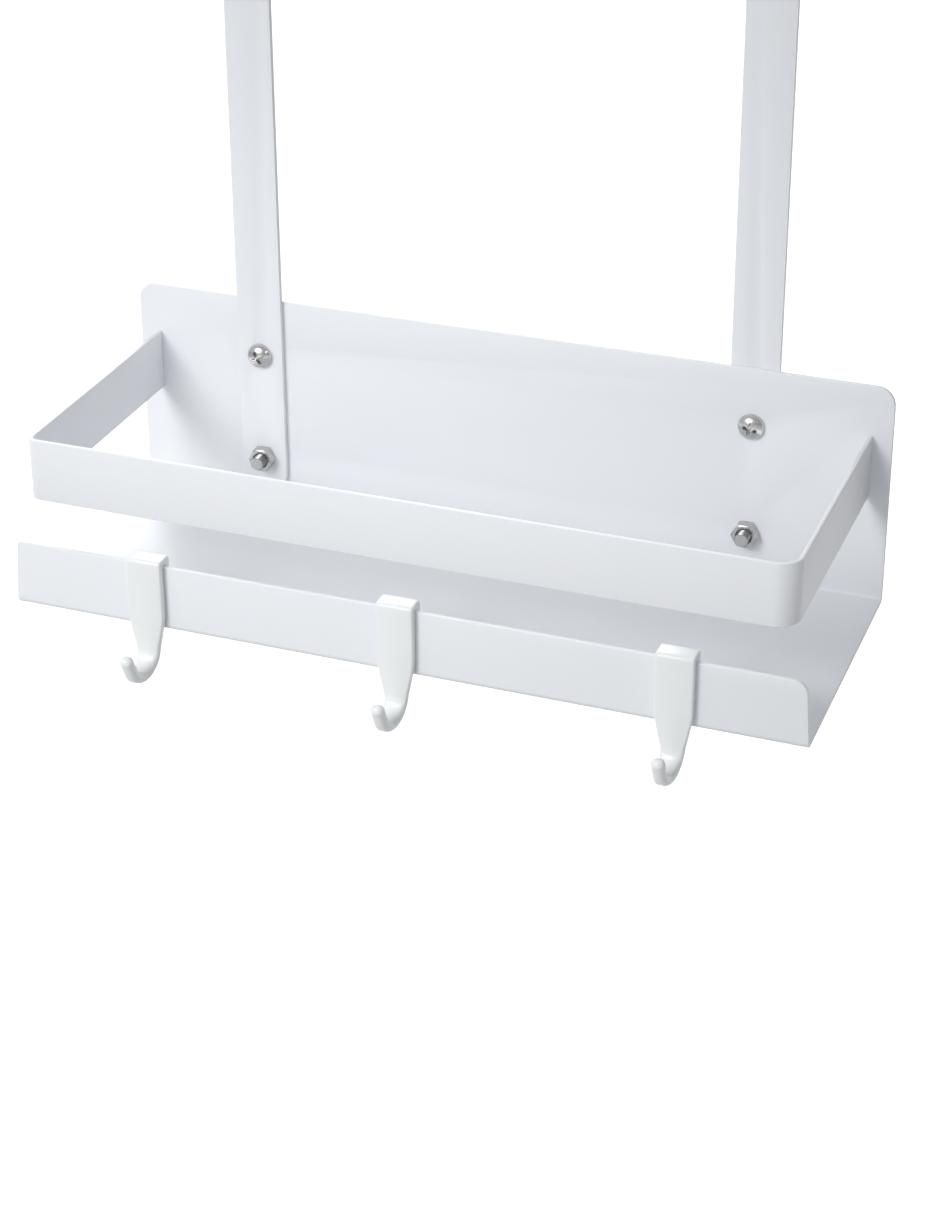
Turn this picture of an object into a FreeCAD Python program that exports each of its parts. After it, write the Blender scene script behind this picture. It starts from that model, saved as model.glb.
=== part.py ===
"""Over-the-door shelf rack with sliding hooks, in millimetres.

A bent sheet shelf with a flat guard rail hangs on two flat straps that hook over a door's top
edge. Three moulded hooks clip over the shelf's front lip and slide along it. +X is to the
right as seen from the front, +Y goes into the door and +Z is up. The origin is on the door's
top edge, at its front face, midway between the straps.

Every piece is first laid out from the shelf's own corner, where x is 0 midway along it, y is
0 at the back panel's front face and z is 0 under the floor; place() then moves it.
"""
import math
import operator
import os

import FreeCAD
import Part
import Sketcher

SIZES = {
    # shelf, one bent sheet
    "shelf_width": 270.0,
    "panel_height": 78.0,
    "shelf_depth": 98.5,
    "lip_height": 23.5,
    "lip_end_taper": 1.5,
    "sheet_wall": 1.5,
    "bend_inside": 1.0,
    "panel_corner": 6.5,
    "lip_corner_left": 1.8,
    "lip_corner_right": 4.5,
    # guard rail, one flat band bent to a U
    "rail_inset": 6.5,
    "rail_setback": 2.0,
    "rail_height": 21.5,
    "rail_bottom": 39.0,
    "rail_wall": 1.5,
    "rail_corner_left": 3.5,
    "rail_corner_right": 7.5,
    # straps
    "strap_spacing": 176.0,
    "strap_width": 16.5,
    "strap_wall": 2.0,
    "strap_end_below_nut": 9.5,
    "strap_end_corner": 3.0,
    "strap_bend_inside": 3.0,
    "door_drop": 330.0,
    "door_gap": 52.0,
    "door_back_leg": 35.0,
    "pad_thick": 1.5,
    "pad_margin": 1.0,
    # fasteners
    "upper_hole_below_top": 20.5,
    "lower_hole_height": 18.5,
    "thread_dia": 5.0,
    "hole_clearance": 0.25,
    "screw_head_dia": 9.0,
    "screw_head_rise": 3.2,
    "cross_width": 1.1,
    "cross_length": 5.0,
    "cross_depth": 1.8,
    "nut_flats": 8.0,
    "nut_thick": 4.0,
    "thread_stand_out": 1.5,
    "stud_stand_out": 3.0,
    "bumper_dia": 18.0,
    "bumper_tip_dia": 16.0,
    "bumper_length": 10.0,
    "stud_plate_dia": 11.0,
    "stud_plate_thick": 1.5,
    "stud_plate_cover": 1.0,
    # sliding hooks
    "hook_left_x": -86.0,
    "hook_middle_x": 1.5,
    "hook_right_x": 93.0,
    "hook_width": 12.5,
    "hook_clearance": 0.2,
    "hook_front_wall": 2.8,
    "hook_rear_wall": 2.8,
    "hook_top_wall": 2.5,
    "hook_rear_leg": 11.0,
    "hook_taper_start": 6.0,
    "hook_waist_width": 7.6,
    "hook_waist_depth": 8.0,
    "hook_foot_width": 6.6,
    "hook_reach_down": 15.0,
    "hook_mouth": 13.0,
    "hook_tip_wall": 3.6,
    "hook_tip_width": 4.8,
    "hook_tip_below": 1.0,
    "hook_cap_round": 1.6,
}


class Size:
    """A length that is a number and also the formula that binds a property to the sheet."""

    def __init__(self, value, text):
        self.value = value
        self.text = text

    def join(self, sign, work, other, swapped=False):
        other = other if isinstance(other, Size) else Size(float(other), repr(float(other)))
        first, second = (other, self) if swapped else (self, other)
        return Size(work(first.value, second.value), f"({first.text} {sign} {second.text})")

    def __add__(self, other):
        return self.join("+", operator.add, other)

    def __radd__(self, other):
        return self.join("+", operator.add, other, swapped=True)

    def __sub__(self, other):
        return self.join("-", operator.sub, other)

    def __rsub__(self, other):
        return self.join("-", operator.sub, other, swapped=True)

    def __mul__(self, other):
        return self.join("*", operator.mul, other)

    def __rmul__(self, other):
        return self.join("*", operator.mul, other, swapped=True)

    def __truediv__(self, other):
        return self.join("/", operator.truediv, other)

    def __neg__(self):
        return 0.0 - self


doc = FreeCAD.newDocument("DoorShelfRack")
sheet = doc.addObject("Spreadsheet::Sheet", "Sizes")
for row, (alias, number) in enumerate(SIZES.items(), start=1):
    sheet.set(f"A{row}", alias)
    sheet.set(f"B{row}", str(number))
    sheet.setAlias(f"B{row}", alias)
doc.recompute()


def size(alias):
    return Size(float(sheet.get(alias)), f"Sizes.{alias}")


ZERO = Size(0.0, "0")
SMALL = 1e-4
PIECES = []


def bind(obj, **lengths):
    """Bind properties of an object to their formulas."""
    for name, length in lengths.items():
        obj.setExpression(name, length.text)


def place(obj, x=ZERO, y=ZERO, z=ZERO):
    """Move a finished piece from the shelf's corner to the door's top edge, and keep it."""
    bind(obj, **{"Placement.Base.x": x, "Placement.Base.y": y - door_front, "Placement.Base.z": z - drop})
    PIECES.append(obj)


def origin_plane(body, role):
    return next(item for item in body.Origin.OriginFeatures if item.Role == role)


def outline(body, name, role, corners):
    """A closed outline of straight sides, with each corner held by two bound distances."""
    sketch = body.newObject("Sketcher::SketchObject", name)
    sketch.AttachmentSupport = [(origin_plane(body, role), "")]
    sketch.MapMode = "FlatFace"
    points = [[item if isinstance(item, Size) else Size(float(item), repr(float(item))) for item in corner]
              for corner in corners]
    vectors = [FreeCAD.Vector(across.value, along.value, 0) for across, along in points]
    count = len(vectors)
    for index in range(count):
        sketch.addGeometry(Part.LineSegment(vectors[index], vectors[(index + 1) % count]), False)
    for index in range(count):
        sketch.addConstraint(Sketcher.Constraint("Coincident", index, 2, (index + 1) % count, 1))
    for index, corner in enumerate(points):
        for kind, length in zip(("DistanceX", "DistanceY"), corner):
            held = sketch.addConstraint(Sketcher.Constraint(kind, -1, 1, index, 1, length.value))
            sketch.setExpression(f"Constraints[{held}]", length.text)
    return sketch


def new_body(label):
    body = doc.addObject("PartDesign::Body", label)
    body.Label = label
    return body


def pad(body, name, sketch, length, both_ways=False):
    feature = body.newObject("PartDesign::Pad", name)
    feature.Profile = sketch
    feature.Midplane = both_ways
    bind(feature, Length=length)
    doc.recompute()


def pocket(body, name, sketch, forward_by=None):
    """Cut an outline right through both ways, or only forwards from its plane."""
    before = body.Shape.Volume
    feature = body.newObject("PartDesign::Pocket", name)
    feature.Profile = sketch
    if forward_by is None:
        feature.Midplane = True
        feature.Type = "ThroughAll"
    else:
        feature.Type = "Length"
        feature.Reversed = True
        bind(feature, Length=forward_by)
    doc.recompute()
    if body.Shape.Volume > before - SMALL:
        raise RuntimeError(f"{name} cut nothing")


def straight_edges(shape, axis, points):
    """Names of the straight edges that run along an axis through any of some points."""
    direction = FreeCAD.Vector(*axis)
    names = []
    for index, edge in enumerate(shape.Edges, start=1):
        if edge.Curve.TypeId != "Part::GeomLine" or edge.Curve.Direction.cross(direction).Length > SMALL:
            continue
        for point in points:
            offset = FreeCAD.Vector(*point) - edge.Vertexes[0].Point
            if offset.cross(direction).Length < SMALL:
                names.append(f"Edge{index}")
                break
    return names


def round_along(body, name, axis, radius, points):
    """Round the straight edges that run along an axis through some points."""
    base = body.Tip
    edges = straight_edges(base.Shape, axis, points)
    if len(edges) < len(points):
        raise RuntimeError(f"{name} found {len(edges)} edges for {len(points)} corners")
    feature = body.newObject("PartDesign::Fillet", name)
    feature.Base = (base, edges)
    bind(feature, Radius=radius)
    doc.recompute()


X_AXIS, Y_AXIS, Z_AXIS = (1, 0, 0), (0, 1, 0), (0, 0, 1)
sheet_wall = size("sheet_wall")
strap_wall = size("strap_wall")
drop = size("door_drop")
door_front = sheet_wall + strap_wall + size("bumper_length")
strap_x = size("strap_spacing") / 2
hole_heights = {
    "upper": size("panel_height") - size("upper_hole_below_top"),
    "lower": size("lower_hole_height"),
}
hole_radius = size("thread_dia") / 2 + size("hole_clearance")


def drill(body, across, wall):
    """Drill the clearance holes of both screw heights through a flat wall."""
    for index, x in enumerate(across):
        for level, z in hole_heights.items():
            name = f"{body.Label}_{level}_hole{index}"
            sketch = body.newObject("Sketcher::SketchObject", name + "_circle")
            sketch.AttachmentSupport = [(origin_plane(body, "XZ_Plane"), "")]
            sketch.MapMode = "FlatFace"
            circle = Part.Circle(FreeCAD.Vector(x.value, z.value, 0), FreeCAD.Vector(0, 0, 1), hole_radius.value)
            sketch.addGeometry(circle, False)
            for kind, length in (("DistanceX", x), ("DistanceY", z)):
                held = sketch.addConstraint(Sketcher.Constraint(kind, -1, 1, 0, 3, length.value))
                sketch.setExpression(f"Constraints[{held}]", length.text)
            held = sketch.addConstraint(Sketcher.Constraint("Radius", 0, hole_radius.value))
            sketch.setExpression(f"Constraints[{held}]", hole_radius.text)
            before = body.Shape.Volume
            hole = body.newObject("PartDesign::Pocket", name)
            hole.Profile = sketch
            hole.Midplane = True
            bind(hole, Length=wall * 4)
            doc.recompute()
            if body.Shape.Volume > before - SMALL:
                raise RuntimeError(f"{name} cut nothing")


# ---- shelf: back panel, floor and front lip, bent from one sheet ----
def make_shelf():
    body = new_body("shelf")
    half, front = size("shelf_width") / 2, -size("shelf_depth")
    top, lip, bend = size("panel_height"), size("lip_height"), size("bend_inside")
    inside = front + sheet_wall
    section = outline(body, "ShelfSection", "YZ_Plane", [
        (sheet_wall, 0), (sheet_wall, top), (0, top), (0, sheet_wall),
        (inside, sheet_wall), (inside, lip), (front, lip), (front, 0)])
    pad(body, "ShelfSheet", section, half * 2, both_ways=True)
    round_along(body, "InnerBends", X_AXIS, bend,
                [(0, 0, sheet_wall.value), (0, inside.value, sheet_wall.value)])
    round_along(body, "OuterBends", X_AXIS, bend + sheet_wall,
                [(0, sheet_wall.value, 0), (0, front.value, 0)])
    round_along(body, "PanelCorners", Y_AXIS, size("panel_corner"),
                [(half.value, 0, top.value), (-half.value, 0, top.value)])
    taper, start = size("lip_end_taper"), sheet_wall + bend
    for side, sign in (("Left", -1.0), ("Right", 1.0)):
        end, spare = half * sign, lip + sheet_wall
        slant = outline(body, f"LipSlant{side}", "XZ_Plane", [
            (end, start), ((half - taper) * sign, lip), ((half - taper) * sign, spare),
            ((half + taper) * sign, spare), ((half + taper) * sign, start)])
        pocket(body, f"LipEnd{side}", slant, forward_by=size("shelf_depth") + sheet_wall)
    for side, end in (("left", taper.value - half.value), ("right", half.value - taper.value)):
        round_along(body, f"LipCorner_{side}", Y_AXIS, size(f"lip_corner_{side}"), [(end, 0, lip.value)])
    drill(body, (-strap_x, strap_x), sheet_wall)
    place(body)


# ---- guard rail: one flat band bent to a U, its ends welded to the panel ----
def make_rail():
    body = new_body("guard_rail")
    half, wall = size("shelf_width") / 2 - size("rail_inset"), size("rail_wall")
    front = size("rail_setback") - size("shelf_depth")
    side = half - wall
    plan = outline(body, "RailPlan", "XY_Plane", [
        (-half, 0), (-half, front), (half, front), (half, 0),
        (side, 0), (side, front + wall), (-side, front + wall), (-side, 0)])
    pad(body, "RailBand", plan, size("rail_height"))
    for end, sign in (("left", -1.0), ("right", 1.0)):
        corner = size(f"rail_corner_{end}")
        round_along(body, f"RailOuterCorner_{end}", Z_AXIS, corner,
                    [(sign * half.value, front.value, 0)])
        round_along(body, f"RailInnerCorner_{end}", Z_AXIS, corner - wall,
                    [(sign * side.value, front.value + wall.value, 0)])
    place(body, z=size("rail_bottom"))


# ---- straps: flat bar, bent over at the top to hook over a door ----
def make_strap(label, x, y):
    body = new_body(label)
    gap, wall, bend = size("door_gap"), strap_wall, size("strap_bend_inside")
    low = size("lower_hole_height") - size("strap_end_below_nut")
    top = drop + size("pad_thick")
    back_low = top - size("door_back_leg")
    half = size("strap_width") / 2
    section = outline(body, label + "Section", "YZ_Plane", [
        (-wall, low), (-wall, top + wall), (gap + wall, top + wall), (gap + wall, back_low),
        (gap, back_low), (gap, top), (0, top), (0, low)])
    pad(body, label + "Bar", section, half * 2, both_ways=True)
    round_along(body, label + "InnerBends", X_AXIS, bend, [(0, gap.value, top.value), (0, 0, top.value)])
    round_along(body, label + "OuterBends", X_AXIS, bend + wall,
                [(0, -wall.value, top.value + wall.value),
                 (0, gap.value + wall.value, top.value + wall.value)])
    round_along(body, label + "Ends", Y_AXIS, size("strap_end_corner"),
                [(sign * half.value, 0, height.value) for sign in (-1, 1) for height in (low, back_low)])
    drill(body, (ZERO,), wall)
    place(body, x=x, y=y)


# ---- soft pads stuck inside each strap's hook, where it bears on the door ----
def make_pads(side, x, y):
    thick, margin, clear = size("pad_thick"), size("pad_margin"), size("strap_bend_inside")
    gap, top = size("door_gap"), drop + size("pad_thick")
    width = size("strap_width") - margin * 2
    length = size("door_back_leg") - clear - margin * 2
    for name, depth, height, ahead, bottom in (
            (f"door_top_pad_{side}", gap - clear * 2, thick, clear, drop),
            (f"door_back_pad_{side}", thick, length, gap - thick, top - clear - length)):
        block = doc.addObject("Part::Box", name)
        bind(block, Length=width, Width=depth, Height=height)
        place(block, x=x - width / 2, y=y + ahead, z=bottom)


# ---- fasteners, each made standing on its seat and then turned to face forwards ----
FORWARDS = FreeCAD.Rotation(FreeCAD.Vector(1, 0, 0), 90)
BACKWARDS = FreeCAD.Rotation(FreeCAD.Vector(1, 0, 0), -90)
thread = size("thread_dia")


def cylinder(name, radius, height, z=ZERO):
    solid = doc.addObject("Part::Cylinder", name)
    bind(solid, Radius=radius, Height=height, **{"Placement.Base.z": z})
    return solid


def combine(kind, name, first, second):
    """A cut or common of two solids."""
    result = doc.addObject(f"Part::{kind}", name)
    result.Base, result.Tool = first, second
    return result


def fuse(name, solids):
    result = doc.addObject("Part::MultiFuse", name)
    result.Shapes = solids
    return result


def cross_bar(name, turned, top):
    bar = doc.addObject("Part::Box", name)
    long, narrow, deep = size("cross_length"), size("cross_width"), size("cross_depth")
    across, along = (narrow, long) if turned else (long, narrow)
    bind(bar, Length=across, Width=along, Height=deep, **{
        "Placement.Base.x": -across / 2, "Placement.Base.y": -along / 2,
        "Placement.Base.z": top - deep})
    return bar


def make_screw(label, x, y, z, grip):
    """Domed cross-recess screw; the sphere's radius gives the head its width and its rise."""
    rise, radius = size("screw_head_rise"), size("screw_head_dia") / 2
    ball_radius = (radius * radius + rise * rise) / (rise * 2)
    ball = doc.addObject("Part::Sphere", label + "_ball")
    bind(ball, Radius=ball_radius, **{"Placement.Base.z": rise - ball_radius})
    head = combine("Common", label + "_head", ball, cylinder(label + "_rim", radius, rise))
    reach = grip + size("nut_thick") + size("thread_stand_out")
    shank = cylinder(label + "_shank", thread / 2, reach, -reach)
    whole = fuse(label + "_blank", [head, shank])
    cross = fuse(label + "_cross", [cross_bar(f"{label}_bar{turned}", turned, rise) for turned in (0, 1)])
    screw = combine("Cut", label, whole, cross)
    screw.Placement = FreeCAD.Placement(FreeCAD.Vector(), FORWARDS)
    place(screw, x=x, y=y, z=z)


def make_nut(label, x, y, z, facing):
    """Hexagon nut with both faces chamfered by the cones of a turned blank."""
    flats, thick = size("nut_flats"), size("nut_thick")
    corner_radius = flats / math.cos(math.pi / 6) / 2
    hexagon = doc.addObject("Part::Prism", label + "_hexagon")
    hexagon.Polygon = 6
    bind(hexagon, Circumradius=corner_radius, Height=thick)
    narrow = flats / 2
    wide = narrow + thick / 2 / math.tan(math.pi / 6)
    cones = []
    for name, low, high, base in (("_lower", narrow, wide, ZERO), ("_upper", wide, narrow, thick / 2)):
        cone = doc.addObject("Part::Cone", label + name)
        bind(cone, Radius1=low, Radius2=high, Height=thick / 2, **{"Placement.Base.z": base})
        cones.append(cone)
    blank = combine("Common", label + "_blank", hexagon, fuse(label + "_turned", cones))
    nut = combine("Cut", label, blank, cylinder(label + "_bore", thread / 2, thick))
    nut.Placement = FreeCAD.Placement(FreeCAD.Vector(), facing)
    place(nut, x=x, y=y, z=z)


def make_bumper(side, x, seat, grip):
    """Rubber foot behind the panel with a threaded stud moulded in; the nut is in front."""
    length, depth = size("bumper_length"), size("stud_plate_cover")
    z = hole_heights["lower"]
    plate_radius, plate_thick = size("stud_plate_dia") / 2, size("stud_plate_thick")
    reach = grip + size("nut_thick") + size("stud_stand_out")

    def stud_shape(name):
        plate = cylinder(name + "_plate", plate_radius, plate_thick, -depth - plate_thick)
        rod = cylinder(name + "_rod", thread / 2, depth + plate_thick + reach, -depth - plate_thick)
        return fuse(name, [plate, rod])

    stud = stud_shape(f"bumper_stud_{side}")
    rubber = doc.addObject("Part::Cone", f"bumper_{side}_solid")
    bind(rubber, Radius1=size("bumper_tip_dia") / 2, Radius2=size("bumper_dia") / 2, Height=length,
         **{"Placement.Base.z": -length})
    foot = combine("Cut", f"bumper_{side}", rubber, stud_shape(f"bumper_{side}_core"))
    for piece in (stud, foot):
        piece.Placement = FreeCAD.Placement(FreeCAD.Vector(), FORWARDS)
        place(piece, x=x, y=seat, z=z)


# ---- sliding hooks, one moulding: a cap over the lip, a tapering leg and a forward J ----
def make_hook(label, x):
    body = new_body(label)
    clear, front_wall = size("hook_clearance"), size("hook_front_wall")
    tip_wall, mouth = size("hook_tip_wall"), size("hook_mouth")
    lip_front = -size("shelf_depth")
    slot_front, slot_back = lip_front - clear, lip_front + sheet_wall + clear
    rear, slot_top = slot_back + size("hook_rear_wall"), size("lip_height") + clear
    top, face = slot_top + size("hook_top_wall"), slot_front - front_wall
    tip_back, foot = face - mouth, -size("hook_reach_down")
    tip_front, tip_top = tip_back - tip_wall, -size("hook_tip_below")
    rear_low = slot_top - size("hook_rear_leg")
    half = size("hook_width") / 2
    side_view = outline(body, label + "Side", "YZ_Plane", [
        (rear, rear_low), (rear, top), (face, top), (face, foot + tip_wall), (tip_back, foot + tip_wall),
        (tip_back, tip_top), (tip_front, tip_top), (tip_front, foot), (slot_front, foot),
        (slot_front, slot_top), (slot_back, slot_top), (slot_back, rear_low)])
    pad(body, label + "Blank", side_view, half * 2, both_ways=True)
    nearly_half = 0.49
    round_along(body, label + "InsideJ", X_AXIS, mouth * nearly_half,
                [(0, face.value, foot.value + tip_wall.value), (0, tip_back.value, foot.value + tip_wall.value)])
    round_along(body, label + "OutsideJ", X_AXIS, (slot_front - tip_front) * nearly_half,
                [(0, slot_front.value, foot.value), (0, tip_front.value, foot.value)])
    round_along(body, label + "TipEnd", X_AXIS, tip_wall * nearly_half,
                [(0, tip_back.value, tip_top.value), (0, tip_front.value, tip_top.value)])
    round_along(body, label + "CapTop", X_AXIS, size("hook_cap_round"), [(0, face.value, top.value)])
    waist, foot_half = size("hook_waist_width") / 2, size("hook_foot_width") / 2
    tip_half, start = size("hook_tip_width") / 2, size("hook_taper_start")
    waist_low = -size("hook_waist_depth")
    for side, sign in (("Left", -1.0), ("Right", 1.0)):
        outer = (half + clear) * sign
        leg = outline(body, f"{label}LegTaper{side}", "XZ_Plane", [
            (half * sign, start), (waist * sign, waist_low), (foot_half * sign, foot - clear),
            (outer, foot - clear), (outer, start)])
        pocket(body, f"{label}Leg{side}", leg)
        tip = outline(body, f"{label}TipTaper{side}", "XY_Plane", [
            (waist * sign, face), (tip_half * sign, tip_back), (tip_half * sign, tip_front - clear),
            (outer, tip_front - clear), (outer, face)])
        pocket(body, f"{label}Tip{side}", tip)
    place(body, x=x)


make_shelf()
make_rail()
for side, x, seat in (("left", -strap_x, ZERO), ("right", strap_x, sheet_wall + strap_wall)):
    make_strap(f"strap_{side}", x, seat)
    make_pads(side, x, seat)
    front = -strap_wall if side == "left" else ZERO
    back = sheet_wall if side == "left" else sheet_wall + strap_wall
    grip = sheet_wall + strap_wall
    make_screw(f"screw_upper_{side}", x, front, hole_heights["upper"], grip)
    make_nut(f"nut_upper_{side}", x, back, hole_heights["upper"], BACKWARDS)
    make_nut(f"nut_lower_{side}", x, front, hole_heights["lower"], FORWARDS)
    make_bumper(side, x, back, grip)
for name in ("left", "middle", "right"):
    make_hook(f"hook_{name}", size(f"hook_{name}_x"))
doc.recompute()

for obj in doc.Objects:
    if {"Invalid", "Error"} & set(obj.State):
        raise RuntimeError(f"{obj.Name} did not recompute: {obj.State}")
os.makedirs("parts", exist_ok=True)
for obj in PIECES:
    if obj.Shape.isNull() or not obj.Shape.isValid():
        raise RuntimeError(f"{obj.Label} has no valid shape")
for obj in PIECES:
    obj.Shape.exportStep(f"parts/{obj.Label}.step")
    print(f"{obj.Label}: {len(obj.Shape.Solids)} solid, {obj.Shape.Volume:.1f} mm3")
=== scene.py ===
import math

import bmesh
import bpy
from mathutils import Matrix, Vector


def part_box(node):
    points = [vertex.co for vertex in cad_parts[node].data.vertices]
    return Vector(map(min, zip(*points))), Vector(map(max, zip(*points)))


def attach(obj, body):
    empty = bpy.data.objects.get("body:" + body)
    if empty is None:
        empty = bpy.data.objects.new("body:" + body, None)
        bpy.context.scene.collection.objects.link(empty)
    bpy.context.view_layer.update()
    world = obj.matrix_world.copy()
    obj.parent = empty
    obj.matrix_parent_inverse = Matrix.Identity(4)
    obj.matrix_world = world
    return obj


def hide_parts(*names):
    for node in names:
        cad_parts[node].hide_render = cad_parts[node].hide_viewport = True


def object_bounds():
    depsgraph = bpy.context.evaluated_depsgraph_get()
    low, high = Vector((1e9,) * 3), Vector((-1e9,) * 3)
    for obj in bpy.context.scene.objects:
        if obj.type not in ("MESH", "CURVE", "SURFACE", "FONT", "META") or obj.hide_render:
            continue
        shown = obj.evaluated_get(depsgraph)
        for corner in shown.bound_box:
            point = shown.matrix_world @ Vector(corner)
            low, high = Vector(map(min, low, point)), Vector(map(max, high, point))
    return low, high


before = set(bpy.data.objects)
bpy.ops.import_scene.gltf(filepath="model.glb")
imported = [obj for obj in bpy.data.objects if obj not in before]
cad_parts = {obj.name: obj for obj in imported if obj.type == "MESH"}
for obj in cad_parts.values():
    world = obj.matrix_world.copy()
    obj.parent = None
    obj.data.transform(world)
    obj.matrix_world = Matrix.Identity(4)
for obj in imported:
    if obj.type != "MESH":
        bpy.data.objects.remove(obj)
cad_low, cad_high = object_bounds()
MM = 0.001


# ---- Shelf ----------------------------------------------------------------------------------
# The shelf is one sheet of 1.5 mm steel: a back panel, a floor and a front lip, folded in a
# press brake. Its cut edges are broken before the white powder coat is baked on, so they catch
# the light as thin soft lines.

class Wire:
    """An output socket; arithmetic on it adds Math nodes to its material."""

    def __init__(self, finish, socket):
        self.finish, self.socket = finish, socket

    def math(self, operation, first, second=0.0):
        return self.finish.node("ShaderNodeMath", {"operation": operation}, {0: first, 1: second})

    def __add__(self, other):
        return self.math("ADD", self, other)

    __radd__ = __add__

    def __mul__(self, other):
        return self.math("MULTIPLY", self, other)

    def __sub__(self, other):
        return self.math("SUBTRACT", self, other)


class Finish:
    """A material whose nodes are added one call at a time."""

    def __init__(self, name, **constants):
        self.material = bpy.data.materials.new(name)
        self.material.use_nodes = True
        self.tree = self.material.node_tree
        self.shader = self.tree.nodes["Principled BSDF"]
        for socket, value in constants.items():
            self.shader.inputs[socket.replace("_", " ")].default_value = value

    def node(self, kind, settings=None, inputs=None, output=0):
        made = self.tree.nodes.new(kind)
        for key, value in (settings or {}).items():
            setattr(made, key, value)
        for key, value in (inputs or {}).items():
            self.feed(made.inputs[key], value)
        return Wire(self, made.outputs[output])

    def feed(self, socket, value):
        if isinstance(value, Wire):
            self.tree.links.new(value.socket, socket)
        else:
            socket.default_value = value

    def set(self, **wires):
        for socket, value in wires.items():
            self.feed(self.shader.inputs[socket.replace("_", " ")], value)

    def place(self, shift=(0, 0, 0), scale=(1, 1, 1)):
        here = self.node("ShaderNodeTexCoord", output="Object")
        return self.node("ShaderNodeMapping", {"vector_type": "TEXTURE"}, {
            "Vector": here, "Location": shift, "Scale": scale})

    def noise(self, where, per_metre, detail=2.0, roughness=0.5):
        return self.node("ShaderNodeTexNoise", None, {
            "Vector": where, "Scale": per_metre, "Detail": detail, "Roughness": roughness})

    def tint(self, amount, low, high, under=None):
        return self.node("ShaderNodeMix", {"data_type": "RGBA"}, {
            0: amount, 6: under or (*low, 1), 7: (*high, 1)}, output=2)

    def bump(self, height, depth, under=None):
        inputs = {"Height": height, "Strength": 1.0, "Distance": depth}
        if under is not None:
            inputs["Normal"] = under
        return self.node("ShaderNodeBump", None, inputs)


def powder_coat():
    """Baked white powder coat: fine orange peel with a soft, even sheen."""
    coat = Finish("white_powder_coat", IOR=1.47, Coat_Roughness=0.3)
    where = coat.place()
    peel = coat.noise(where, 520.0, 3.0, 0.55)
    grain = coat.noise(where, 2600.0, 2.0, 0.6)
    cloud = coat.noise(where, 14.0, 3.0, 0.5)
    coat.set(
        Base_Color=coat.tint(cloud, (0.80, 0.814, 0.840), (0.82, 0.834, 0.858)),
        Roughness=0.40 + cloud * 0.05 + grain * 0.06,
        Normal=coat.bump(grain, 0.000012, coat.bump(peel, 0.00003)))
    return coat.material


def finished(name, mesh_data, body, material, node, angle=35.0):
    """Turn a bmesh into a piece that rides on a body and stands for its node."""
    mesh = bpy.data.meshes.new(name)
    mesh_data.to_mesh(mesh)
    mesh_data.free()
    mesh.polygons.foreach_set("use_smooth", [True] * len(mesh.polygons))
    mesh.set_sharp_from_angle(angle=math.radians(angle))
    mesh.materials.append(material)
    piece = bpy.data.objects.new(name, mesh)
    bpy.context.scene.collection.objects.link(piece)
    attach(piece, body)
    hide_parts(node)


def broken_edges(node, width):
    """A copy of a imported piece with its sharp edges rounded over."""
    mesh_data = bmesh.new()
    mesh_data.from_mesh(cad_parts[node].data)
    bmesh.ops.remove_doubles(mesh_data, verts=mesh_data.verts, dist=1e-6)
    bmesh.ops.dissolve_limit(mesh_data, angle_limit=math.radians(1.0), verts=mesh_data.verts,
                             edges=mesh_data.edges)
    sharp = [edge for edge in mesh_data.edges
             if len(edge.link_faces) == 2 and edge.calc_face_angle() > math.radians(50)]
    bmesh.ops.bevel(mesh_data, geom=sharp, offset=width, offset_type="OFFSET", segments=3,
                    profile=0.5, affect="EDGES", material=-1, clamp_overlap=True)
    return mesh_data


EDGE_BREAK = 0.35 * MM
white_coat = powder_coat()
finished("shelf_sheet", broken_edges("shelf", EDGE_BREAK), "rack", white_coat,
         "shelf")


# ---- Guard rail ------------------------------------------------------------------------------
# The rail is a flat band bent to a U round a former, welded to the panel at its two ends and
# coated with it.

finished("guard_rail_band", broken_edges("guard_rail", EDGE_BREAK), "rack",
         white_coat, "guard_rail")


# ---- Straps ----------------------------------------------------------------------------------
# Two lengths of flat bar hang the rack: each is bent over at the top to hook on a door. The
# left one is screwed on in front of the panel and the right one behind it.

for side in ("left", "right"):
    finished(f"strap_bar_{side}", broken_edges(f"strap_{side}", 0.4 * MM), "rack",
             white_coat, f"strap_{side}")


# ---- Hooks -----------------------------------------------------------------------------------
# Three clips moulded in glossy white plastic push down over the lip and slide along it. Each is
# one strip: a short rear leg, a square cap and a long front leg that narrows into a curled tip.

def moulded_plastic():
    """Glossy white plastic: a little light passes in, and the mould left a faint ripple."""
    plastic = Finish("white_plastic", IOR=1.49, Subsurface_Weight=0.12, Subsurface_Scale=0.0015,
                     Subsurface_Radius=(1.0, 0.9, 0.8))
    where = plastic.place()
    ripple = plastic.noise(where, 160.0, 2.0, 0.4)
    skin = plastic.noise(where, 1500.0, 2.0, 0.5)
    flow = plastic.noise(plastic.place(scale=(1.0, 1.0, 3.0)), 60.0, 3.0, 0.5)
    plastic.set(
        Base_Color=plastic.tint(flow, (0.82, 0.838, 0.832), (0.845, 0.86, 0.855)),
        Roughness=0.26 + skin * 0.05 + flow * 0.05,
        Normal=plastic.bump(skin, 0.000004, plastic.bump(ripple, 0.00004)))
    return plastic.material


RING_CORNERS = 24
SHEET_WALL, LIP_HEIGHT = 1.5 * MM, 23.5 * MM
TAPER_START = 6.0 * MM


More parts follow.
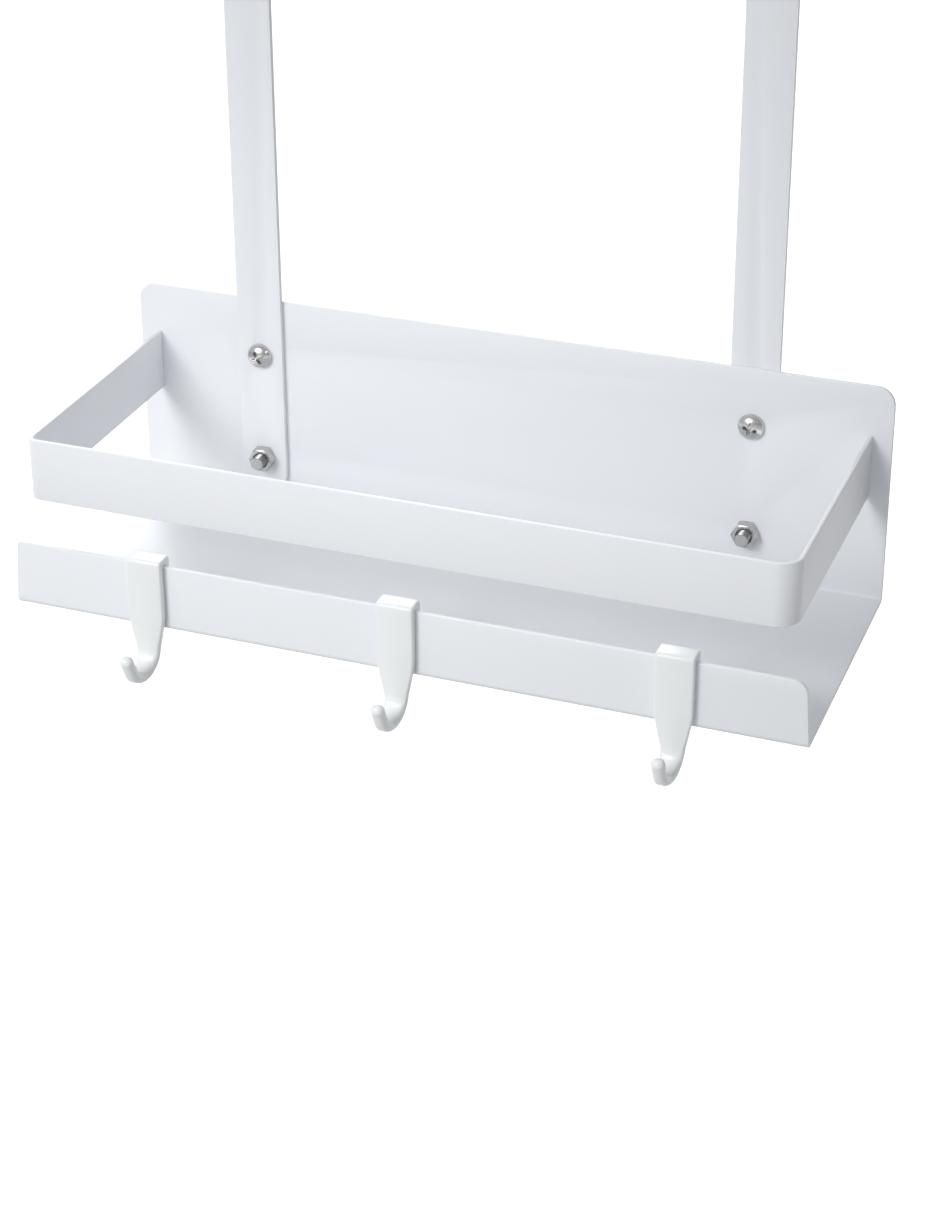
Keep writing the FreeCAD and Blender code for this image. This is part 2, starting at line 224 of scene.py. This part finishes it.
def hook_ring(mesh_data, place, lean, width, depth, corner):
    """One outline of the strip: a rectangle with round corners, leaning about X."""
    ring = bmesh.ops.create_circle(mesh_data, segments=RING_CORNERS, radius=1.0)["verts"]
    edges = list({edge for vert in ring for edge in vert.link_edges})
    corner = min(corner, width / 2, depth / 2)
    across, deep = width / 2 - corner, depth / 2 - corner
    turned = Matrix.Translation(place) @ Matrix.Rotation(lean, 4, "X")
    for index, vert in enumerate(ring):
        turn = math.tau * (index + 0.5) / RING_CORNERS
        side, face = math.cos(turn), math.sin(turn)
        vert.co = turned @ Vector((math.copysign(across, side) + corner * side,
                                   math.copysign(deep, face) + corner * face, 0.0))
    return edges


def hook_stations(lip_front, lip_top):
    """The strip from its rear end to its tip: (y, z, lean, width, depth, corner) by turns."""
    play, inside = 0.2 * MM, 0.25 * MM
    rear_wall, top_wall, front_wall, saddle_wall = 2.8 * MM, 2.5 * MM, 2.8 * MM, 3.3 * MM
    wide, waist, tip_wide, tip_deep = 12.5 * MM, 8.2 * MM, 4.6 * MM, 4.0 * MM
    rear_reach, reach_down, curl = 11.0 * MM, 14.95 * MM, 6.9 * MM
    tip_lean, tip_arm = 26.0, 6.2 * MM
    soft, softer, end_round = 0.75 * MM, 1.25 * MM, 0.6 * MM
    slot_front, slot_back = lip_front - play, lip_front + SHEET_WALL + play
    slot_top = lip_top + play
    floor_level = lip_top - LIP_HEIGHT
    rear_y, leg_y = slot_back + rear_wall / 2, slot_front - front_wall / 2
    rear_end = slot_top - rear_reach
    for step in range(5):
        lift = math.radians(10 + 20 * step)
        inset = 2 * end_round * (1 - math.sin(lift))
        yield (rear_y, rear_end + end_round * (1 - math.cos(lift)), 0.0, wide - inset,
               rear_wall - inset, soft)
    for pivot_y, start in ((slot_back - inside, 0), (slot_front + inside, 90)):
        for step in range(13):
            lean = math.radians(start + 7.5 * step)
            upright, level = abs(math.cos(lean)), abs(math.sin(lean))
            side_wall = (rear_wall if start == 0 else front_wall) + inside
            reach = ((upright / side_wall) ** 5 + (level / (top_wall + inside)) ** 5) ** -0.2
            middle = (reach + inside) / 2
            yield (pivot_y + middle * math.cos(lean), slot_top - inside + middle * math.sin(lean), lean,
                   wide, reach - inside, soft)
    curl_z = floor_level - reach_down + (saddle_wall + tip_deep) / 4 + curl
    taper_start, steps = floor_level + TAPER_START, 20
    for step in range(steps):
        along = step / steps
        narrowing = along ** 1.2
        yield (leg_y, taper_start + (curl_z - taper_start) * along, math.pi,
               wide + (waist - wide) * narrowing, front_wall + (saddle_wall - front_wall) * along ** 2,
               soft + (softer - soft) * along ** 2)
    for step in range(20):
        along = step / 19
        lean = math.radians(180 - (180 - tip_lean) * along)
        yield (leg_y - curl - curl * math.cos(lean), curl_z - curl * math.sin(lean), lean,
               waist + (tip_wide - waist) * along, saddle_wall + (tip_deep - saddle_wall) * along,
               softer + (tip_deep / 2 - softer) * along)
    lean = math.radians(tip_lean)
    foot_y, foot_z = leg_y - curl - curl * math.cos(lean), curl_z - curl * math.sin(lean)
    for step in range(1, 11):
        lift = math.radians(9 * step - 9)
        inset = tip_deep * (1 - math.cos(lift))
        reach = tip_arm + tip_deep / 2 * math.sin(lift)
        yield (foot_y - reach * math.sin(lean), foot_z + reach * math.cos(lean), lean,
               tip_wide - inset, tip_deep - inset, tip_deep / 2)


shelf_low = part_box("shelf")[0]
plastic_white = moulded_plastic()
for name in ("left", "middle", "right"):
    low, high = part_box(f"hook_{name}")
    hook = bmesh.new()
    outlines = []
    for y, z, lean, width, depth, corner in hook_stations(
            shelf_low.y, shelf_low.z + LIP_HEIGHT):
        outlines.append(hook_ring(hook, ((low.x + high.x) / 2, y, z), lean, width, depth, corner))
    for before, after in zip(outlines, outlines[1:]):
        bmesh.ops.bridge_loops(hook, edges=before + after)
    for outline in (outlines[0], outlines[-1]):
        bmesh.ops.contextual_create(hook, geom=outline)
    bmesh.ops.recalc_face_normals(hook, faces=hook.faces)
    finished(f"clip_hook_{name}", hook, f"hook_{name}", plastic_white, f"hook_{name}",
             angle=50.0)


# ---- Upper screws ----------------------------------------------------------------------------
# Two M5 pan-head screws in stainless steel hold the straps at the top. Each has a domed head
# with a tapered cross recess, a rolled thread and a chamfered end.

THREAD_PITCH, THREAD_RADIUS, THREAD_CORE, TURN_STEPS = 0.8 * MM, 2.5 * MM, 2.05 * MM, 32
END_RADIUS = 2.25 * MM
TO_THE_FRONT = Matrix.Rotation(math.radians(90), 4, "X")


def stainless(name, centre, tarnish=0.0, shade_and_grime_from=None):
    """Bright steel with turned rings. From the radius given last, outwards, it is darkened: this is
    painted shade for the dark gap where the thread runs into the nut, with some oil on the thread.
    """
    steel = Finish(name, Metallic=1.0, IOR=2.5, Anisotropic=0.3)
    where = steel.place(shift=centre)
    across, up = (steel.node("ShaderNodeSeparateXYZ", None, {"Vector": where}, output=axis)
                  for axis in "XZ")
    radius = across.math("SQRT", across * across + up * up)
    rings = radius.math("SINE", radius * 42000.0)
    stain = steel.noise(where, 420.0, 4.0, 0.6)
    grain = steel.noise(where, 4200.0, 2.0, 0.5)
    dull = 0.52 - tarnish
    colour = steel.tint(stain, (dull, dull * 0.985, dull * 0.955),
                        (dull + 0.16, dull + 0.155, dull + 0.14))
    if shade_and_grime_from is not None:
        # Painted shade: past the given radius the thread is darkened. This stands for the shadowed gap
        # round it in the nut, along with some oil on the thread.
        shade_and_grime_ring = steel.node("ShaderNodeMath", {"operation": "MULTIPLY", "use_clamp": True},
                           {0: radius - shade_and_grime_from, 1: 5000.0})
        colour = steel.tint(shade_and_grime_ring, None, (0.26, 0.26, 0.265), under=colour)
    steel.set(
        Base_Color=colour,
        Roughness=0.16 + stain * 0.14 + grain * 0.06,
        Normal=steel.bump(rings * 0.5 + grain, 0.000004))
    return steel.material


def threaded_rod(low, high):
    """A length of M5 thread along Z: one tooth spun up a helix, then cut off and chamfered."""
    rod = bmesh.new()
    start = low - THREAD_PITCH * 1.5
    tooth = [rod.verts.new((reach, 0.0, start + share * THREAD_PITCH)) for reach, share in (
        (THREAD_CORE, 0.0), (THREAD_RADIUS, 0.42), (THREAD_RADIUS, 0.58), (THREAD_CORE, 1.0))]
    for one, other in zip(tooth, tooth[1:]):
        rod.edges.new((one, other))
    turns = math.ceil((high - low) / THREAD_PITCH) + 2
    bmesh.ops.spin(rod, geom=rod.verts[:] + rod.edges[:], cent=(0, 0, 0), axis=(0, 0, 1),
                   dvec=(0, 0, THREAD_PITCH / TURN_STEPS), angle=math.tau * turns,
                   steps=TURN_STEPS * turns)
    bmesh.ops.remove_doubles(rod, verts=rod.verts, dist=1e-6)
    for level, outward in ((low, -1), (high, 1)):
        bmesh.ops.bisect_plane(rod, geom=rod.verts[:] + rod.edges[:] + rod.faces[:],
                               plane_co=(0, 0, level), plane_no=(0, 0, outward), clear_outer=True)
        rim = [edge for edge in rod.edges if edge.is_boundary
               and all(abs(vert.co.z - level) < 1e-7 for vert in edge.verts)]
        bmesh.ops.contextual_create(rod, geom=rim)
    for vert in rod.verts:
        reach = math.hypot(vert.co.x, vert.co.y)
        limit = END_RADIUS + min(vert.co.z - low, high - vert.co.z)
        if reach > limit:
            vert.co.x *= limit / reach
            vert.co.y *= limit / reach
    bmesh.ops.recalc_face_normals(rod, faces=rod.faces)
    return rod


def spun(outline, closed=False, steps=64):
    """Turn a half outline of (radius, height) points about Z into a closed solid."""
    solid = bmesh.new()
    points = [solid.verts.new((radius, 0.0, height)) for radius, height in outline]
    ends = points[1:] + points[:1] if closed else points[1:]
    for one, other in zip(points, ends):
        solid.edges.new((one, other))
    bmesh.ops.spin(solid, geom=solid.verts[:] + solid.edges[:], cent=(0, 0, 0), axis=(0, 0, 1),
                   angle=math.tau, steps=steps, use_merge=True)
    bmesh.ops.remove_doubles(solid, verts=solid.verts, dist=1e-6)
    bmesh.ops.recalc_face_normals(solid, faces=solid.faces)
    return solid


def worked(blank, tool, operation):
    """The blank after a tool solid has cut it or trimmed it."""
    holders = []
    for shape in (blank, tool):
        mesh = bpy.data.meshes.new("work")
        shape.to_mesh(mesh)
        shape.free()
        holder = bpy.data.objects.new("work", mesh)
        bpy.context.scene.collection.objects.link(holder)
        holders.append(holder)
    cut = holders[0].modifiers.new("cut", "BOOLEAN")
    cut.operation, cut.solver, cut.object = operation, "EXACT", holders[1]
    result = bmesh.new()
    result.from_object(holders[0], bpy.context.evaluated_depsgraph_get())
    for holder in holders:
        bpy.data.objects.remove(holder)
    return result


def with_rod(solid, low, high):
    """Add a threaded rod to a solid as a second shell of the same piece."""
    rod = threaded_rod(low, high)
    mesh = bpy.data.meshes.new("rod")
    rod.to_mesh(mesh)
    rod.free()
    solid.from_mesh(mesh)
    bpy.data.meshes.remove(mesh)
    return solid


HEAD_RADIUS, HEAD_RISE, HEAD_RIM = 4.5 * MM, 3.2 * MM, 0.5 * MM
HEAD_CHAMFER = 0.2 * MM
RECESS_DEPTH, RECESS_TOP, RECESS_FOOT = 1.8 * MM, 5.6 * MM, 2.6 * MM
WING, WING_FOOT, ABOVE_THE_HEAD = 1.3 * MM, 0.9 * MM, 0.1 * MM
for side, turned in (("left", 28.0), ("right", -12.0)):
    low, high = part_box(f"screw_upper_{side}")
    seat = low.y + HEAD_RISE
    crown = [math.radians(angle) for angle in range(0, 91, 9)]
    head = spun([(0.0, 0.0), (HEAD_RADIUS - HEAD_CHAMFER, 0.0), (HEAD_RADIUS, HEAD_CHAMFER)]
                + [(HEAD_RADIUS * math.cos(angle),
                    HEAD_RIM + (HEAD_RISE - HEAD_RIM) * math.sin(angle)) for angle in crown])
    for quarter in (0.0, 90.0):
        wing = bmesh.new()
        bmesh.ops.create_cube(wing, size=1.0)
        for vert in wing.verts:
            at_foot = vert.co.z < 0
            vert.co.x *= RECESS_FOOT if at_foot else RECESS_TOP
            vert.co.y *= WING_FOOT if at_foot else WING
            vert.co.z = HEAD_RISE - RECESS_DEPTH if at_foot else HEAD_RISE + ABOVE_THE_HEAD
        bmesh.ops.rotate(wing, verts=wing.verts, cent=(0, 0, 0),
                         matrix=Matrix.Rotation(math.radians(turned + quarter), 3, "Z"))
        head = worked(head, wing, "DIFFERENCE")
    screw = with_rod(head, low.y + HEAD_RISE - high.y, 0.0)
    centre = ((low.x + high.x) / 2, seat, (low.z + high.z) / 2)
    bmesh.ops.transform(screw, verts=screw.verts, matrix=Matrix.Translation(centre) @ TO_THE_FRONT)
    finished(f"pan_head_screw_{side}", screw, "rack",
             stainless(f"stainless_screw_{side}", centre), f"screw_upper_{side}")


# ---- Nuts ------------------------------------------------------------------------------------
# Four M5 hexagon nuts: two behind the upper screws, and two in front on the bumpers' studs. Both
# faces are chamfered, so each flat ends in a shallow curve.

NUT_FLATS, NUT_THICK, BORE_RADIUS, BORE_SINK = 8.0 * MM, 4.0 * MM, 2.42 * MM, 2.9 * MM
FACE_RADIUS, CORNER_RADIUS, CHAMFER = 3.85 * MM, 4.7 * MM, 0.49 * MM
for row in ("upper", "lower"):
    for side, turned in (("left", 33.0), ("right", 24.0)):
        low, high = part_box(f"nut_{row}_{side}")
        centre = ((low.x + high.x) / 2, high.y, (low.z + high.z) / 2)
        blank = bmesh.new()
        bmesh.ops.create_circle(blank, cap_ends=True, segments=6,
                                radius=NUT_FLATS / 2 / math.cos(math.radians(30)))
        walls = bmesh.ops.extrude_face_region(blank, geom=blank.faces[:])
        bmesh.ops.translate(blank, vec=(0, 0, NUT_THICK),
                            verts=[part for part in walls["geom"]
                                   if isinstance(part, bmesh.types.BMVert)])
        bmesh.ops.recalc_face_normals(blank, faces=blank.faces)
        barrel = spun([(BORE_SINK, 0.0), (FACE_RADIUS, 0.0), (CORNER_RADIUS, CHAMFER),
                       (CORNER_RADIUS, NUT_THICK - CHAMFER), (FACE_RADIUS, NUT_THICK),
                       (BORE_SINK, NUT_THICK), (BORE_RADIUS, NUT_THICK - CHAMFER),
                       (BORE_RADIUS, CHAMFER)],
                      closed=True)
        nut = worked(blank, barrel, "INTERSECT")
        bmesh.ops.rotate(nut, verts=nut.verts, cent=(0, 0, 0),
                         matrix=Matrix.Rotation(math.radians(30), 3, "Z"))
        bmesh.ops.transform(nut, verts=nut.verts, matrix=Matrix.Translation(centre) @ TO_THE_FRONT)
        finished(f"hexagon_nut_{row}_{side}", nut, "rack",
                 stainless(f"stainless_nut_{row}_{side}", centre, 0.04), f"nut_{row}_{side}", angle=20.0)


# ---- Bumpers and their studs -----------------------------------------------------------------
# Two soft rubber bumpers keep the rack off the door. Each has a threaded steel stud moulded into
# it, which comes through the sheet to its nut in front.

def rubber(name, tone):
    """Matt moulded rubber with a fine grain and a faint bloom."""
    made = Finish(name, IOR=1.5)
    where = made.place()
    grain = made.noise(where, 1800.0, 3.0, 0.6)
    bloom = made.noise(where, 90.0, 3.0, 0.5)
    made.set(
        Base_Color=made.tint(bloom, [tone * 0.9] * 3, [tone * 1.1] * 3),
        Roughness=0.72 + grain * 0.12 + bloom * 0.08,
        Normal=made.bump(grain, 0.00003))
    return made.material


BUMPER_TIP, BUMPER_ROUND, BASE_ROUND = 8.0 * MM, 1.2 * MM, 0.3 * MM
MOULD_DIMPLE, DIMPLE_DEPTH = 2.2 * MM, 0.5 * MM
PLATE_RADIUS, PLATE_THICK, EDGE_ROUND = 5.5 * MM, 1.5 * MM, 0.2 * MM
rubber_white = rubber("white_rubber", 0.72)
for side in ("left", "right"):
    low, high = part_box(f"bumper_{side}")
    centre = ((low.x + high.x) / 2, high.y, (low.z + high.z) / 2)
    length, base = high.y - low.y, (high.x - low.x) / 2
    lip = [math.radians(angle) for angle in range(0, 91, 15)]
    bumper = spun([(0.0, DIMPLE_DEPTH), (MOULD_DIMPLE * 0.8, DIMPLE_DEPTH), (MOULD_DIMPLE, 0.0)]
                  + [(BUMPER_TIP - BUMPER_ROUND * (1 - math.sin(angle)),
                      BUMPER_ROUND * (1 - math.cos(angle))) for angle in lip]
                  + [(base, length - BASE_ROUND), (base - BASE_ROUND, length), (0.0, length)])
    bmesh.ops.transform(bumper, verts=bumper.verts, matrix=Matrix.Translation(centre) @ TO_THE_FRONT)
    finished(f"rubber_bumper_{side}", bumper, "rack", rubber_white, f"bumper_{side}")

    low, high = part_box(f"bumper_stud_{side}")
    centre = ((low.x + high.x) / 2, high.y, (low.z + high.z) / 2)
    plate = spun([(0.0, 0.0), (PLATE_RADIUS - EDGE_ROUND, 0.0), (PLATE_RADIUS, EDGE_ROUND),
                  (PLATE_RADIUS, PLATE_THICK - EDGE_ROUND), (PLATE_RADIUS - EDGE_ROUND, PLATE_THICK),
                  (0.0, PLATE_THICK)])
    stud = with_rod(plate, PLATE_THICK / 2, high.y - low.y)
    bmesh.ops.transform(stud, verts=stud.verts, matrix=Matrix.Translation(centre) @ TO_THE_FRONT)
    # The stud's thread is darkened from 2.15 mm radius outwards: painted shade of its gap in the nut,
    # with some oil on the thread.
    finished(f"threaded_stud_{side}", stud, "rack",
             stainless(f"stainless_stud_{side}", centre, 0.02, shade_and_grime_from=2.15 * MM),
             f"bumper_stud_{side}")


# ---- Door pads -------------------------------------------------------------------------------
# Thin strips of grey rubber are glued inside the straps' hooks, over the door's top edge and
# down its back, so that the steel does not mark the paint.

rubber_grey = rubber("grey_rubber", 0.5)
for place in ("top", "back"):
    for side in ("left", "right"):
        finished(f"rubber_strip_{place}_{side}", broken_edges(f"door_{place}_pad_{side}", 0.3 * MM),
                 "rack", rubber_grey, f"door_{place}_pad_{side}")


# ---- Floor, light and camera -----------------------------------------------------------------
# A pale floor lies well below the hanging rack. A broad soft light stands in front, high on the
# left. A weak narrow one reaches the shelf's left end, and a third stands behind on the left.

FLOOR_DROP = 1.2
floor_mesh = bmesh.new()
bmesh.ops.create_grid(floor_mesh, x_segments=1, y_segments=1, size=30.0)
bmesh.ops.translate(floor_mesh, verts=floor_mesh.verts, vec=(0, 0, cad_low.z - FLOOR_DROP))
floor_data = bpy.data.meshes.new("floor")
floor_mesh.to_mesh(floor_data)
floor_mesh.free()
paper = Finish("pale_floor", Base_Color=(0.9, 0.9, 0.9, 1), Roughness=0.9,
               Emission_Color=(1, 1, 1, 1), Emission_Strength=0.9)
floor_data.materials.append(paper.material)
floor = bpy.data.objects.new("floor", floor_data)
bpy.context.scene.collection.objects.link(floor)
floor.visible_diffuse = False

world = bpy.data.worlds.new("studio")
world.use_nodes = True
sky = world.node_tree
heading = sky.nodes.new("ShaderNodeTexCoord")
brighter_side = sky.nodes.new("ShaderNodeVectorMath")
brighter_side.operation = "DOT_PRODUCT"
brighter_side.inputs[1].default_value = (-0.8, 0.0, 0.6)
fade = sky.nodes.new("ShaderNodeMapRange")
for setting, value in (("From Min", -1.0), ("From Max", 1.0), ("To Min", 0.28), ("To Max", 0.67)):
    fade.inputs[setting].default_value = value
sky.links.new(heading.outputs["Generated"], brighter_side.inputs[0])
sky.links.new(brighter_side.outputs["Value"], fade.inputs["Value"])
sky.links.new(fade.outputs["Result"], sky.nodes["Background"].inputs["Strength"])
sky.nodes["Background"].inputs["Color"].default_value = (0.96, 0.98, 1.0, 1)
bpy.context.scene.world = world


def soft_spot(name, watts, beam_degrees, radius, place, target):
    """A soft lamp at a place whose beam fades from the target outwards."""
    lamp = bpy.data.lights.new(name, "SPOT")
    lamp.energy, lamp.shadow_soft_size = watts, radius
    lamp.spot_size, lamp.spot_blend = math.radians(beam_degrees), 1.0
    holder = bpy.data.objects.new(name, lamp)
    holder.location = place
    holder.rotation_mode = "QUATERNION"
    holder.rotation_quaternion = (Vector(target) - Vector(place)).to_track_quat("-Z", "Y")
    bpy.context.scene.collection.objects.link(holder)


BRIGHTEST = Vector((-0.07, shelf_low.y, shelf_low.z - 0.01))
LEFT_END = Vector((-0.128, shelf_low.y / 2, shelf_low.z + 0.04))
soft_spot("key_light", 74.0, 36.0, 0.4, BRIGHTEST + Vector((-0.36, -0.98, 0.66)), BRIGHTEST)
soft_spot("fill_light", 9.0, 12.0, 0.1, LEFT_END + Vector((0.90, -0.46, 0.62)), LEFT_END)
soft_spot("back_light", 50.0, 60.0, 0.4, BRIGHTEST + Vector((-0.6, 1.3, 0.8)), BRIGHTEST)

bpy.context.scene.view_settings.view_transform = "Standard"

CAMERA_AZIMUTH, CAMERA_ELEVATION, CAMERA_ROLL = 20.64, 26.12, 0.24
CAMERA_PLACE = (285.2 * MM, -799.6 * MM, 103.1 * MM)
camera_data = bpy.data.cameras.new("camera")
camera_data.sensor_width = 36.0
camera_data.lens = 80.0889
camera_data.shift_y = -0.105
camera_data.clip_start, camera_data.clip_end = 0.05, 100.0
camera = bpy.data.objects.new("camera", camera_data)
azimuth, elevation = math.radians(CAMERA_AZIMUTH), math.radians(CAMERA_ELEVATION)
look = Vector((-math.sin(azimuth) * math.cos(elevation), math.cos(azimuth) * math.cos(elevation),
               -math.sin(elevation)))
camera.location = CAMERA_PLACE
camera.rotation_mode = "QUATERNION"
camera.rotation_quaternion = (look.to_track_quat("-Z", "Y")
                              @ Matrix.Rotation(math.radians(-CAMERA_ROLL), 3, "Z").to_quaternion())
bpy.context.scene.collection.objects.link(camera)
bpy.context.scene.camera = camera
